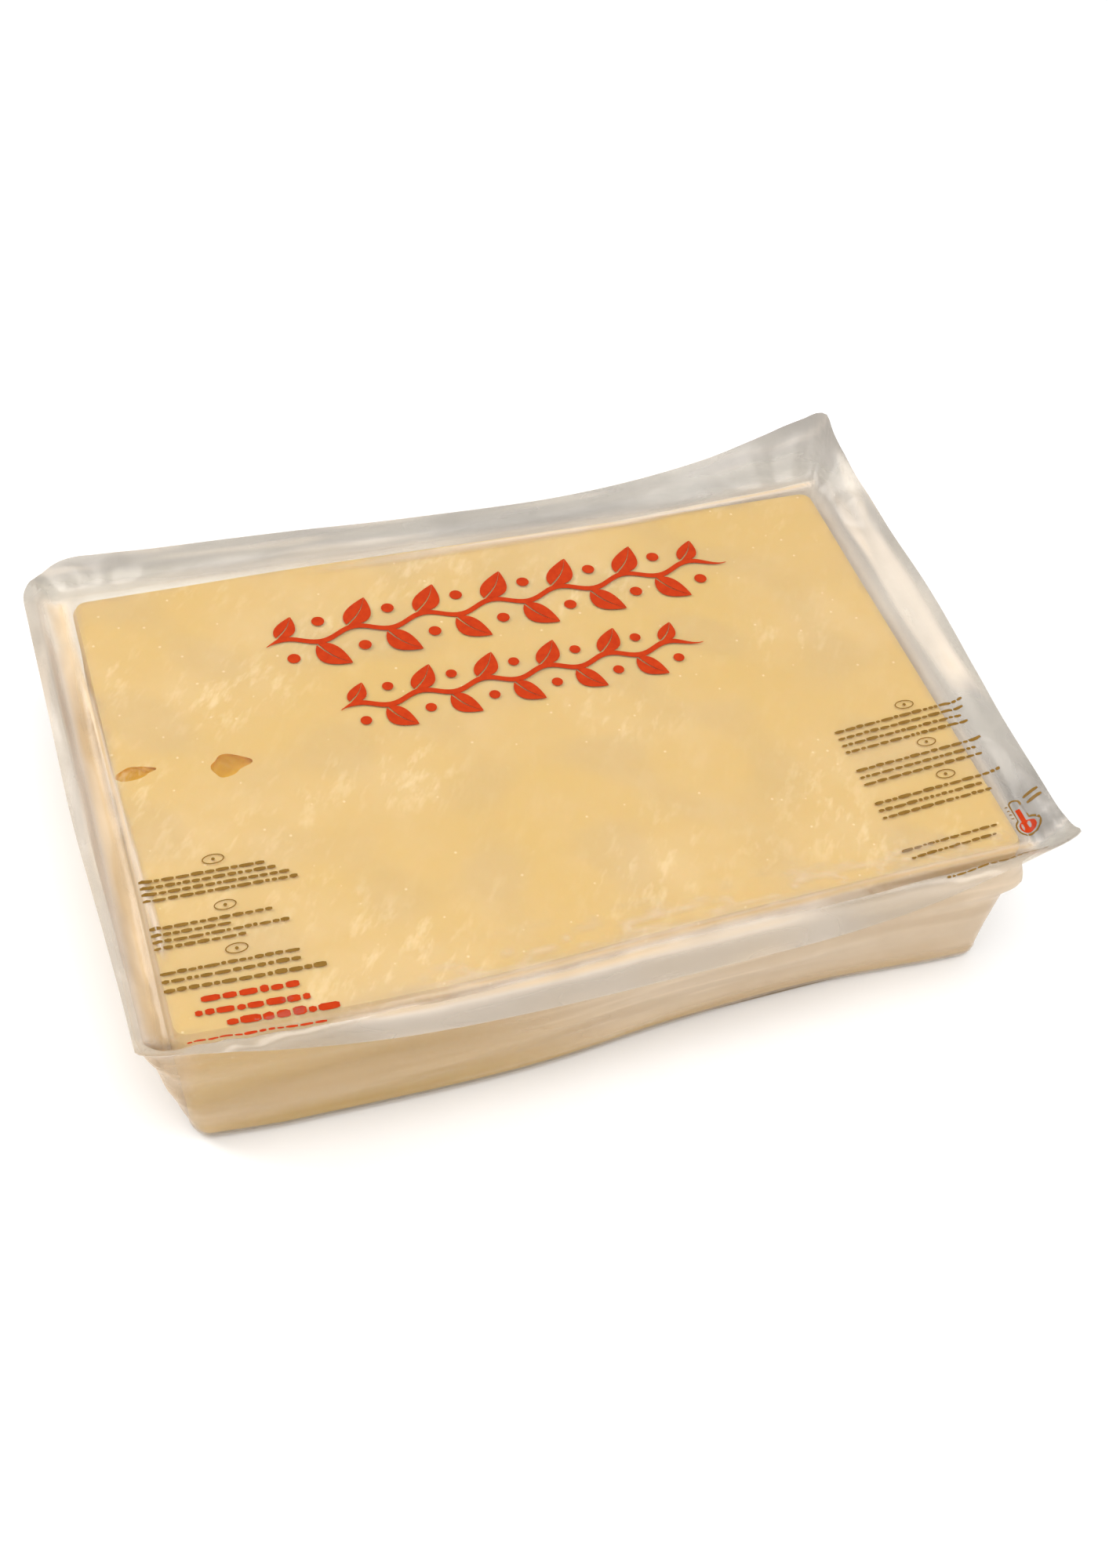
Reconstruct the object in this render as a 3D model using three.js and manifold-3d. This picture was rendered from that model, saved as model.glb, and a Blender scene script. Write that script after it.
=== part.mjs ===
// A catering block of large-eyed pressed cheese, vacuum packed in clear film.
// Millimetres, +Z up, +X along the block. The origin is the middle of the pack's flat underside.
//
// The lower web of film is formed into a tray that holds the block. The upper web lies on top,
// and both webs are sealed together in a flange that curls up at the corners and droops along
// the front.
import * as THREE from "three";
import { mergeVertices } from "three/addons/utils/BufferGeometryUtils.js";
import Module from "manifold-3d";

// ---- Driving dimensions ----
const BLOCK_LENGTH = 270;
const BLOCK_WIDTH = 176;
const BLOCK_HEIGHT = 59;
const BLOCK_DRAFT = 2.3; // how far the foot of each side stands in from its top
const BLOCK_CORNER = 5; // radius of the upright corners, seen from above
const BLOCK_EDGE_TOP = 2; // rounding of the top edges
const BLOCK_EDGE_FOOT = 4; // rounding of the bottom edges

const FILM = 0.3; // thickness of each web
const GAP = 0.3; // clearance between pieces that touch

// Flange: its reach past the block, its rise at the middle of each side and at each corner.
const REACH = { left: 13.5, right: 16, front: 9.7, back: 19.5 };
const SIDE_RISE = { left: -0.5, right: 3.2, front: -12.5, back: 0 };
const CORNER_RISE = { frontRight: 13.5, backRight: 18.5, backLeft: 8.5, frontLeft: 7.5 };
const FLANGE_BEND = 1.4; // 1 is a straight slope, more starts flat and steepens outwards
const CORNER_SPREAD = 2.45; // higher keeps each corner's curl nearer its corner
const NEAREST_SIDE = 8; // higher makes each place follow its nearest side alone
const MITRE = 4; // higher makes the fold at each corner sharper
const SEAL_SHARES = [0.45, 0.63, 0.82, 1]; // rings of the seal, from its inner edge to the cut edge
const FLANGE_RADIUS = [3, 5, 22, 3]; // front right, back right, back left, front left

// Tray walls: how far they stand off the block's top outline where they meet the flange.
const WALL_HEAD = { left: 5, right: 4, front: 3.5, back: 6 };
const WALL_RADIUS = [6, 8, 14, 12];
const WALL_BEND = 1.6; // 1 is a straight wall, more keeps it on the block for longer
const EAR = 4; // how far the pleat at the front right corner stands out
const EAR_HEIGHT = 42;
const EAR_DEPTH = 6;
const EAR_WIDTH = 16;

// Points around each outline.
const ARC_STEPS = 4;
const LONG_STEPS = 12;
const SHORT_STEPS = 8;
const SIDES = ["left", "right", "front", "back"];

// Eyes, face by face: place along and up the face, depth of the middle below it, half-axes along,
// up and into the face, and turn in the face in degrees.
const EYES = {
  top: [
    { along: -126.5, up: 13.5, depth: 0.6, half: [6.5, 2.9, 4], turn: 8 },
    { along: -97.5, up: 10.5, depth: 0.6, half: [7.2, 4.4, 6], turn: 8 },
  ],
  back: [
    { along: -62, up: 4, depth: 1, half: [7, 5, 4], turn: 10 },
    { along: 38, up: -10, depth: 1, half: [5, 4, 3.5], turn: 0 },
  ],
  right: [{ along: 24, up: -6, depth: 1, half: [6, 4.5, 4], turn: -15 }],
};

const TOP = FILM + GAP + BLOCK_HEIGHT; // the block's top face
const SEAL = TOP + GAP; // underside of the upper web on the block
const FOOT = TOP - BLOCK_HEIGHT + BLOCK_EDGE_FOOT; // where the block's sides start
const HEAD = TOP - BLOCK_EDGE_TOP; // where they end

// ---- Outlines ----

// A ring of points round a rectangle with rounded corners, anticlockwise from above. grow says
// how far each side stands outside the block's top outline.
function outline(grow, radii) {
  const west = -BLOCK_LENGTH / 2 - grow.left;
  const east = BLOCK_LENGTH / 2 + grow.right;
  const south = -BLOCK_WIDTH / 2 - grow.front;
  const north = BLOCK_WIDTH / 2 + grow.back;
  const corners = [
    { x: east, y: south, inX: -1, inY: 1 },
    { x: east, y: north, inX: -1, inY: -1 },
    { x: west, y: north, inX: 1, inY: -1 },
    { x: west, y: south, inX: 1, inY: 1 },
  ];
  const arcs = corners.map(({ x, y, inX, inY }, index) => {
    const radius = radii[index];
    const start = -Math.PI / 2 + (index * Math.PI) / 2;
    const arc = [];
    for (let step = 0; step <= ARC_STEPS; step++) {
      const angle = start + (step / ARC_STEPS) * (Math.PI / 2);
      arc.push(new THREE.Vector2(
        x + inX * radius + radius * Math.cos(angle),
        y + inY * radius + radius * Math.sin(angle),
      ));
    }
    return arc;
  });
  const points = [];
  arcs.forEach((arc, index) => {
    points.push(...arc);
    const from = arc[ARC_STEPS];
    const to = arcs[(index + 1) % arcs.length][0];
    const steps = index % 2 === 0 ? SHORT_STEPS : LONG_STEPS;
    for (let step = 1; step < steps; step++) {
      points.push(new THREE.Vector2().lerpVectors(from, to, step / steps));
    }
  });
  return points;
}

const evenly = (amount) => Object.fromEntries(SIDES.map((side) => [side, amount]));
const blend = (from, to, share) =>
  Object.fromEntries(SIDES.map((side) => [side, THREE.MathUtils.lerp(from[side], to[side], share)]));
const blendRadii = (from, to, share) =>
  from.map((radius, index) => THREE.MathUtils.lerp(radius, to[index], share));

const level = (points, z) => points.map(({ x, y }) => new THREE.Vector3(x, y, z));

// One closed skin through a run of rings, each end closed by a fan to its middle. Each four-sided
// patch folds along its shorter diagonal, so that skins that lie on each other fold alike.
function skin(rings) {
  const across = (row, column, otherRow, otherColumn) =>
    rings[row][column].distanceTo(rings[otherRow][otherColumn]);
  const count = rings[0].length;
  const positions = rings.flat().flatMap((point) => point.toArray());
  const indices = [];
  for (let row = 0; row + 1 < rings.length; row++) {
    for (let column = 0; column < count; column++) {
      const next = (column + 1) % count;
      const a = row * count + column;
      const b = row * count + next;
      const c = (row + 1) * count + next;
      const d = (row + 1) * count + column;
      const rising = across(row, column, row + 1, next) < across(row, next, row + 1, column);
      indices.push(...(rising ? [a, b, c, a, c, d] : [a, b, d, b, c, d]));
    }
  }
  for (const [row, outwards] of [[0, false], [rings.length - 1, true]]) {
    const middle = new THREE.Vector3();
    rings[row].forEach((point) => middle.addScaledVector(point, 1 / count));
    const centre = positions.length / 3;
    positions.push(...middle.toArray());
    for (let column = 0; column < count; column++) {
      const a = row * count + column;
      const b = row * count + ((column + 1) % count);
      indices.push(...(outwards ? [a, b, centre] : [b, a, centre]));
    }
  }
  const geometry = new THREE.BufferGeometry();
  geometry.setAttribute("position", new THREE.Float32BufferAttribute(positions, 3));
  geometry.setIndex(indices);
  return geometry;
}

// ---- Flange ----

// Height of the seal above its level on the block, at a place outside the block.
function flangeRise(x, y) {
  const right = x > 0;
  const back = y > 0;
  const reachX = right ? REACH.right : REACH.left;
  const reachY = back ? REACH.back : REACH.front;
  const outX = Math.max(Math.abs(x) - BLOCK_LENGTH / 2, 0) / reachX;
  const outY = Math.max(Math.abs(y) - BLOCK_WIDTH / 2, 0) / reachY;
  const out = (outX ** MITRE + outY ** MITRE) ** (1 / MITRE);
  const alongX = Math.abs(x) / (BLOCK_LENGTH / 2 + reachX);
  const alongY = Math.abs(y) / (BLOCK_WIDTH / 2 + reachY);
  const riseX = right ? SIDE_RISE.right : SIDE_RISE.left;
  const riseY = back ? SIDE_RISE.back : SIDE_RISE.front;
  const pullX = alongX ** NEAREST_SIDE;
  const pullY = alongY ** NEAREST_SIDE;
  const side = (riseX * pullX + riseY * pullY) / (pullX + pullY);
  const corner = CORNER_RISE[`${back ? "back" : "front"}${right ? "Right" : "Left"}`];
  const share = (alongX * alongY) ** CORNER_SPREAD;
  return out ** FLANGE_BEND * THREE.MathUtils.lerp(side, corner, share);
}

// The ring of the seal at a share from 0, the block's outline, to 1, the flange's cut edge. lift
// moves it along the seal's normal.
function flangeRing(share, lift) {
  const radii = blendRadii(Array(4).fill(BLOCK_CORNER), FLANGE_RADIUS, share);
  const step = 0.1; // for the slope
  return outline(blend(evenly(0), REACH, share), radii).map(({ x, y }) => {
    const rise = flangeRise(x, y);
    const normal = new THREE.Vector3(
      (flangeRise(x - step, y) - flangeRise(x + step, y)) / (2 * step),
      (flangeRise(x, y - step) - flangeRise(x, y + step)) / (2 * step),
      1,
    ).normalize();
    return new THREE.Vector3(x, y, SEAL + rise).addScaledVector(normal, lift);
  });
}

// ---- Pieces ----

// Rings round the bottom edge, from the flat underside up to the foot of the sides. lift moves
// the skin outwards from the block.
function footRings(lift) {
  const steps = 3;
  const rings = [];
  for (let step = 0; step <= steps; step++) {
    const angle = (step / steps) * (Math.PI / 2);
    const radius = BLOCK_EDGE_FOOT + lift;
    const grow = radius * Math.sin(angle) - BLOCK_EDGE_FOOT - BLOCK_DRAFT;
    const height = FOOT - radius * Math.cos(angle);
    rings.push(level(outline(evenly(grow), Array(4).fill(BLOCK_CORNER + lift)), height));
  }
  return rings;
}

// Rings round the top edge, from the head of the sides to the flat top.
function headRings() {
  const steps = 3;
  const rings = [];
  for (let step = 0; step <= steps; step++) {
    const angle = (step / steps) * (Math.PI / 2);
    const grow = BLOCK_EDGE_TOP * (Math.cos(angle) - 1);
    const height = HEAD + BLOCK_EDGE_TOP * Math.sin(angle);
    rings.push(level(outline(evenly(grow), Array(4).fill(BLOCK_CORNER)), height));
  }
  return rings;
}

const wasm = await Module();
wasm.setup();

function toSolid(geometry) {
  geometry.deleteAttribute("normal");
  geometry.deleteAttribute("uv");
  const merged = mergeVertices(geometry);
  return new wasm.Manifold(new wasm.Mesh({
    numProp: 3,
    vertProperties: merged.getAttribute("position").array,
    triVerts: new Uint32Array(merged.index.array),
  }));
}

function fromSolid(solid) {
  const { vertProperties, triVerts } = solid.getMesh();
  const geometry = new THREE.BufferGeometry();
  geometry.setAttribute("position", new THREE.BufferAttribute(vertProperties, 3));
  geometry.setIndex(new THREE.BufferAttribute(triVerts, 1));
  return geometry;
}

// Where each face with eyes lies: its own X runs along it, its own Y up it and its own Z out.
function facePlaces() {
  const x = new THREE.Vector3(1, 0, 0);
  const y = new THREE.Vector3(0, 1, 0);
  const z = new THREE.Vector3(0, 0, 1);
  const waist = TOP - BLOCK_HEIGHT / 2;
  const place = (along, up, out, middle) =>
    new THREE.Matrix4().makeBasis(along, up, out).setPosition(...middle);
  return {
    top: place(x, y, z, [0, 0, TOP]),
    back: place(x.clone().negate(), z, y, [0, (BLOCK_WIDTH - BLOCK_DRAFT) / 2, waist]),
    right: place(y, z, x, [(BLOCK_LENGTH - BLOCK_DRAFT) / 2, 0, waist]),
  };
}

// An eye is a gas bubble that the cut face opens.
function eyeGeometry({ along, up, depth, half, turn }) {
  return new THREE.SphereGeometry(1, 14, 10)
    .scale(...half)
    .rotateZ(THREE.MathUtils.degToRad(turn))
    .translate(along, up, -depth);
}

function cheeseGeometry() {
  let block = toSolid(skin([...footRings(0), ...headRings()]));
  for (const [face, place] of Object.entries(facePlaces())) {
    for (const eye of EYES[face]) {
      block = block.subtract(toSolid(eyeGeometry(eye).applyMatrix4(place)));
    }
  }
  return fromSolid(block);
}

// The upper web: flat over the block, then out along the flange and back underneath.
function lidGeometry() {
  const shares = [0, ...SEAL_SHARES];
  const under = shares.map((share) => flangeRing(share, 0));
  const over = shares.map((share) => flangeRing(share, FILM)).reverse();
  return skin([...under, ...over]);
}

// One wall ring of the tray. It lies on the block at its foot and stands off it towards the
// flange, and the spare film at the front right corner is pleated.
function wallRing(height, lift) {
  const share = (height - FOOT) / (HEAD - FOOT);
  const side = BLOCK_DRAFT * (share - 1) + lift;
  const stand = share ** WALL_BEND;
  const grow = Object.fromEntries(SIDES.map((name) => [name, side + WALL_HEAD[name] * stand]));
  const radii = blendRadii(Array(4).fill(BLOCK_CORNER + lift), WALL_RADIUS, share);
  const pleat = EAR * Math.exp(-(((height - EAR_HEIGHT) / EAR_DEPTH) ** 2));
  return outline(grow, radii).map(({ x, y }) => {
    const away = Math.hypot(x - BLOCK_LENGTH / 2, y + BLOCK_WIDTH / 2);
    const push = pleat * Math.max(0, 1 - away / EAR_WIDTH);
    return new THREE.Vector3(x + push, y - push / 2, height);
  });
}

// The lower web: its outer face from the base up the walls and out along the flange, then its
// inner face back to the base.
function trayGeometry() {
  const heights = [16, 30, 37, 42, 47, 52];
  const face = (lift) => [
    ...footRings(lift),
    ...heights.map((height) => wallRing(height, lift)),
    ...SEAL_SHARES.map((share) => flangeRing(share, -lift)),
  ];
  return skin([...face(GAP + FILM), ...face(GAP).reverse()]);
}

// ---- The pack ----
const cheese = new THREE.MeshStandardMaterial({ color: "#ecc789", roughness: 0.55, metalness: 0 });
const web = { color: "#d8d2c9", roughness: 0.25, metalness: 0, transparent: true };
const formedFilm = new THREE.MeshStandardMaterial({ ...web, opacity: 0.4 });
const lidFilm = new THREE.MeshStandardMaterial({ ...web, opacity: 0.25 });

const group = new THREE.Group();
const pieces = [
  ["cheese_block", cheeseGeometry(), cheese],
  ["formed_film", trayGeometry(), formedFilm],
  ["lid_film", lidGeometry(), lidFilm],
];
for (const [name, geometry, material] of pieces) {
  geometry.computeVertexNormals();
  const mesh = new THREE.Mesh(geometry, material);
  mesh.name = name;
  group.add(mesh);
}

export default group;
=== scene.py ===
import math

import bmesh
import bpy
import numpy as np
from mathutils import Matrix, Vector


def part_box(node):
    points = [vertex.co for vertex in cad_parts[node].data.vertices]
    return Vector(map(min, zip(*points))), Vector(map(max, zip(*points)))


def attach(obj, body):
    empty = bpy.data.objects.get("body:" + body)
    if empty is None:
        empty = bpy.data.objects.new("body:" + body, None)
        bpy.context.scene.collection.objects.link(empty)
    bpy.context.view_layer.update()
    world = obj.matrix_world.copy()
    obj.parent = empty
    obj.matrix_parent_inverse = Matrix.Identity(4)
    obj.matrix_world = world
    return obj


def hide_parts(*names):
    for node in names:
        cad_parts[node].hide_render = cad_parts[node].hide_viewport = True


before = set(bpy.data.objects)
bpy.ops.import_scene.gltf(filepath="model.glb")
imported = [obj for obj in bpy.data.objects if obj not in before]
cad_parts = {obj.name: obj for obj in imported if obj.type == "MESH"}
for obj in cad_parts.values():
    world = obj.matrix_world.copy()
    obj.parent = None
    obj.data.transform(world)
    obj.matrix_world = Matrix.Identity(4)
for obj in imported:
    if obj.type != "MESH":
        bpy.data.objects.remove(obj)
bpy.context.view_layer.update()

MM = 0.001

# ---- Sizes and places, in millimetres, worked out from the frame ----


def box_mm(node):
    low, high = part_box(node)
    return np.array(low) / MM, np.array(high) / MM


block_low, block_high = box_mm("cheese_block")
lid_low, lid_high = box_mm("lid_film")
HALF = (block_high[:2] - block_low[:2]) / 2
TOP = block_high[2]
FLOOR = block_low[2]
HEIGHT = TOP - FLOOR

DRAFT = 2.3  # how far the foot of each side stands in from its top
UPRIGHT_RADIUS = 5.0
TOP_RADIUS = 1.2
FOOT_RADIUS = 4.0
CLEARANCE = 0.3  # between the films and the block
FILM = 0.15  # thickness of each web
WELD = 0.12  # hairline between the welded webs
SEAL = TOP + CLEARANCE

# How far the flange reaches past the block, and how it rises or droops at its cut edge.
REACH = {
    "left": block_low[0] - lid_low[0],
    "right": lid_high[0] - block_high[0],
    "front": block_low[1] - lid_low[1],
    "back": lid_high[1] - block_high[1],
}
SIDE_RISE = {"left": -0.5, "right": 3.2, "front": -12.5, "back": 0.0}
CORNER_RISE = {
    ("right", "front"): 13.5,
    ("right", "back"): 18.5,
    ("left", "back"): 8.5,
    ("left", "front"): 7.5,
}
FLANGE_BEND = 1.4
CORNER_SPREAD = 2.45
# How far the flange's cut edges stray outwards from straight lines, as (place along, distance).
STRAY = {
    "right": ((-98, -5.5), (-60, -3.1), (-15, 0.2), (22, 2.3), (60, -0.3), (108, -4.8)),
    "left": ((-98, -3.0), (-50, -1.6), (-5, 0.4), (40, 0.7), (108, 1.2)),
    "back": ((-148, -0.5), (-115, 0.8), (-60, 1.9), (-15, 0.2), (40, -2.4), (95, -1.5), (145, 2.2)),
}
# The block was cut by hand, so it isn't a true box: how far its front side's top and foot, and
# its back side, stand proud of straight lines, as (place along, distance).
FRONT_TOP = ((-135, 3.4), (-100, 5.2), (-60, 6.2), (-25, 5.4), (20, 3.0), (60, 1.5), (110, 0.0))
FRONT_FOOT = ((-135, 4.0), (-110, 4.6), (-20, 4.6), (25, 0.2), (75, -2.3), (125, -0.2))
BACK_SIDE = ((-135, 4.6), (-60, 4.8), (0, 3.8), (60, 2.4), (135, 1.2))
CORNER_BITE = 2.0  # how far the foot's front left corner is pressed in
# How far the vacuum draws the lid down beside the block, and how far it bellies up again.
GUTTER = {"left": 1.1, "right": 0.8, "front": 0.0, "back": 1.2}
SHOULDER = {"left": 0.8, "right": 1.0, "front": 0.0, "back": 0.5}
# How far the head of each wall stands off the block, and where the flange starts, as a share of
# its reach.
WALL_HEAD = {"left": 10.4, "right": 2.4, "front": 3.5, "back": 6.0}
FLANGE_START = {"left": 0.74, "right": 0.4, "front": 0.45, "back": 0.42}
WALL_TOP = 54.0  # height where the walls turn out into the flange
# Corner radii, for the front left, front right, back right and back left.
WALL_RADII = np.array((12.0, 10.0, 8.0, 14.0))
FLANGE_RADII = np.array((3.0, 3.0, 5.0, 22.0))
# The pleat that stands out like an ear at the front right corner.
PLEAT_HEIGHT = 41.5
PLEAT_DEPTH = 3.9
PLEAT_FADE = (3.2, 7.0)  # how soon it fades, below and above its height
PLEAT_REACH = 14.0
# Creases that run out from each corner: its side across and along, how many, how deep and how long.
CORNER_FANS = ((1, 1, 4, 0.9, 30), (-1, 1, 5, 0.7, 26), (1, -1, 4, 0.4, 22), (-1, -1, 5, 0.6, 26))
WRINKLES = ((40, 5), 15, 2.2)  # wave, seed and sharpness of the wrinkles along the front edge
# Long folds that run round the tray's walls: height, half-width and depth.
WALL_FOLDS = ((11.0, 4.0, 0.5), (27.0, 8.0, 1.3), (45.0, 5.0, 0.8))

COLUMNS = (148, 98)  # points along the long and the short side of each film
LID_INSETS = (4.5, 3, 2, 1, 0)  # rings of the lid inside the block's outline
LID_RINGS = 20  # rings of the lid's flange
WALL_RINGS = 33
TRAY_RINGS = 12  # rings of the tray's flange beyond its first

# ---- Smooth random fields ----


def ripples(x, y, wave, seed, count=14):
    """A smooth random height of about -1 to 1, whose humps are about one wave apart. wave is one
    length, or a pair of lengths along x and y."""
    wave_x, wave_y = wave if isinstance(wave, tuple) else (wave, wave)
    rng = np.random.default_rng(seed)
    total = np.zeros(np.broadcast(x, y).shape)
    for _ in range(count):
        turn = rng.uniform(0, 2 * math.pi)
        pitch = rng.uniform(0.7, 1.5)
        phase = rng.uniform(0, 2 * math.pi)
        along = x / wave_x * math.cos(turn) + y / wave_y * math.sin(turn)
        total += np.sin(2 * math.pi * pitch * along + phase)
    return total / math.sqrt(count)


def creases(x, y, wave, seed, sharpness=3.0):
    """Thin raised lines, from 0 to 1, where a smooth random field crosses zero."""
    return np.clip(1 - np.abs(ripples(x, y, wave, seed)) * sharpness, 0, 1) ** 1.5


def smooth(low, high, value):
    t = np.clip((value - low) / (high - low), 0, 1)
    return t * t * (3 - 2 * t)


def hump(value, middle, width):
    return np.exp(-(((value - middle) / width) ** 2))


def through(place, points):
    """A smooth line through a few (place, value) points, level beyond its ends."""
    places, values = np.array(points, float).T
    slopes = np.gradient(values, places)
    slopes[[0, -1]] = 0
    place = np.clip(place, places[0], places[-1])
    left = np.clip(np.searchsorted(places, place, side="right") - 1, 0, len(places) - 2)
    gap = places[left + 1] - places[left]
    t = (place - places[left]) / gap
    value = values[left] + (values[left + 1] - values[left]) * t * t * (3 - 2 * t)
    bend = slopes[left] * (1 - t) - slopes[left + 1] * t
    return value + gap * t * (1 - t) * bend


# ---- The seal: one surface that the lid lies on and the tray's flange lies under ----


def by_side(x, y, table):
    """A side's value for each place, across the block and along it."""
    across = np.where(x > 0, table["right"], table["left"])
    along = np.where(y > 0, table["back"], table["front"])
    return across, along


def reach_at(x, y):
    """How far the flange reaches past the block at each place, across and along."""
    reach_x, reach_y = by_side(x, y, REACH)
    reach_x = reach_x + np.where(x > 0, through(y, STRAY["right"]), through(y, STRAY["left"]))
    reach_y = reach_y + np.where(y > 0, through(x, STRAY["back"]), 0)
    return reach_x, reach_y


def outwardness(x, y):
    """0 on the block and 1 at the flange's cut edge."""
    reach_x, reach_y = reach_at(x, y)
    out_x = np.maximum(np.abs(x) - HALF[0], 0) / reach_x
    out_y = np.maximum(np.abs(y) - HALF[1], 0) / reach_y
    return (out_x**4 + out_y**4) ** 0.25


def flange_side(x, y, table):
    """A side's value, blended across the corners."""
    reach_x, reach_y = reach_at(x, y)
    value_x, value_y = by_side(x, y, table)
    pull_x = (np.abs(x) / (HALF[0] + reach_x)) ** 24
    pull_y = (np.abs(y) / (HALF[1] + reach_y)) ** 24
    return (value_x * pull_x + value_y * pull_y) / (pull_x + pull_y + 1e-12)


def flange_rise(x, y):
    reach_x, reach_y = reach_at(x, y)
    rise_x, rise_y = by_side(x, y, SIDE_RISE)
    along_x = np.abs(x) / (HALF[0] + reach_x)
    along_y = np.abs(y) / (HALF[1] + reach_y)
    pull_x, pull_y = along_x**8, along_y**8
    corner = np.where(
        x > 0,
        np.where(y > 0, CORNER_RISE["right", "back"], CORNER_RISE["right", "front"]),
        np.where(y > 0, CORNER_RISE["left", "back"], CORNER_RISE["left", "front"]),
    )
    # The front keeps its droop until it's close to the right corner.
    spread = CORNER_SPREAD + 1.3 * (x > 0) * (y < 0) * pull_y / (pull_x + pull_y + 1e-12)
    share = (along_x * along_y) ** spread
    out = outwardness(x, y)
    bend = out**FLANGE_BEND
    # The front flange rolls gently over the block's edge before it hangs down.
    lead = out - 0.07 * (1 - np.exp(-out / 0.07))
    roll = 0.26 * lead + (1 - 0.26 * 0.93) * out**4.2
    side = rise_x * bend * pull_x + rise_y * np.where(y < 0, roll, bend) * pull_y
    return side / (pull_x + pull_y + 1e-12) * (1 - share) + corner * bend * share


def beside_ends(y):
    """1 beside the block's ends, fading out towards the flange's corners."""
    return 1 - smooth(HALF[1] - 4, HALF[1] + 7, np.abs(y))


def on_end(x, y):
    """Whether a place belongs to one of the pack's two ends, and not to its long sides."""
    return np.abs(x) > np.abs(y) * HALF[0] / HALF[1]


def corner_fans(x, y):
    """Creases that run out from each corner of the block."""
    total = np.zeros_like(x)
    for sign_x, sign_y, count, depth, reach in CORNER_FANS:
        from_x = x * sign_x - HALF[0] + 9
        from_y = y * sign_y - HALF[1] + 9
        angle = np.arctan2(from_y, from_x)
        away = np.hypot(from_x, from_y)
        wave = np.cos(2 * count * angle + 1.7 * sign_x + 0.04 * away)
        total += depth * wave * np.abs(wave) * hump(away, 20, reach / 2)
    out = outwardness(x, y)
    return total * smooth(0.05, 0.5, out) * (1 - 0.8 * smooth(0.7, 1, out))


def long_fold(x, y):
    """The thin fold that runs inside the back edge and out through the back right corner."""
    path = HALF[1] + np.interp(x, (-80, 60, 108, 139), (-4.6, -2.8, 0.8, 3.2))
    return hump(y - path, 0, 1.1) * smooth(-85, -60, x) * (1 - smooth(134, 142, x))


def side_fold(x, y):
    """The thin fold that runs beside the left edge and in over the block near its front."""
    path = np.interp(y, (-62, -30, 0, 60), (-131.5, -133.2, -134.4, -136.4))
    return hump(x - path, 0, 0.8) * smooth(-66, -56, y) * (1 - smooth(40, 75, y))


def streaks(x, y, seed):
    """Streaks drawn out along each side of the flange, from about -1 to 1."""
    on_end = smooth(-6, 6, (np.abs(x) - HALF[0]) - (np.abs(y) - HALF[1]))
    return on_end * ripples(x, y, (7, 70), seed) + (1 - on_end) * ripples(x, y, (70, 7), seed + 1)


def seal_height(x, y):
    """Height of the seal's underside anywhere on the pack, in millimetres."""
    out = outwardness(x, y)
    edge = np.minimum(HALF[0] - np.abs(x), HALF[1] - np.abs(y))
    height = SEAL + flange_rise(x, y)
    height += 0.3 * ripples(x, y, 70, 11) * out**1.2 * (1 - 0.6 * smooth(0.8, 1, out))
    height += 0.12 * ripples(x, y, 19, 12) * smooth(0.1, 0.5, out) * (1 - smooth(0.7, 1, out))
    height += corner_fans(x, y)
    # The vacuum draws the lid down into the gap between the block and the tray, and the webs
    # belly up again beyond it.
    uneven = 1 + 0.35 * ripples(x, y, 45, 13)
    height -= flange_side(x, y, GUTTER) * uneven * hump(out, 0.3, 0.2) * smooth(0, 0.15, out)
    height += flange_side(x, y, SHOULDER) * uneven * hump(out, 0.72, 0.24)
    # Thin wrinkles beside the block's top edges, mostly along the front.
    patchy = smooth(-0.5, 0.3, ripples(x, y, 60, 14))
    along_front = hump(y, -HALF[1] + 5, 4.5) * patchy
    height += 0.4 * along_front * creases(x, y, *WRINKLES)
    beside = hump(edge, 4, 5) * (edge > -2)
    height += 0.12 * beside * creases(x, y, 16, 16, 2.0)
    height += 0.5 * long_fold(x, y) + 0.3 * side_fold(x, y)
    height += 0.05 * (1 + ripples(x, y, 30, 17)) * smooth(2, 20, edge)
    return height


def seal_normal(x, y):
    step = 0.05
    slope_x = (seal_height(x + step, y) - seal_height(x - step, y)) / (2 * step)
    slope_y = (seal_height(x, y + step) - seal_height(x, y - step)) / (2 * step)
    normal = np.stack((-slope_x, -slope_y, np.ones_like(slope_x)), axis=-1)
    return normal / np.linalg.norm(normal, axis=-1, keepdims=True)


# ---- Meshes ----


def skew(points):
    """Moves what is near the block's front and back sides with them, as they aren't straight."""
    x, y, z = np.asarray(points, float).T
    near = smooth(HALF[1] - 18, HALF[1], np.abs(y))
    beyond = np.clip((np.abs(y) - HALF[1]) / np.where(y > 0, REACH["back"], REACH["front"]), 0, 1)
    front = -through(x, FRONT_TOP) * (1 - 0.55 * beyond)
    back = through(x, BACK_SIDE) * (1 - beyond)
    return np.column_stack((x, y + near * np.where(y > 0, back, front), z))


def placed(name, data):
    """A new object in the scene."""
    obj = bpy.data.objects.new(name, data)
    bpy.context.scene.collection.objects.link(obj)
    return obj


def mesh_object(name, verts, faces, sharp_angle=None):
    """An object at the origin from vertices in millimetres."""
    mesh = bpy.data.meshes.new(name)
    mesh.from_pydata((skew(verts) * MM).tolist(), [], [list(f) for f in faces])
    mesh.validate()
    mesh.shade_smooth()
    if sharp_angle is not None:
        mesh.set_sharp_from_angle(angle=math.radians(sharp_angle))
    return placed(name, mesh)


def circle(angle):
    """Points on a circle of radius 1."""
    return np.column_stack((np.cos(angle), np.sin(angle)))


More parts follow.
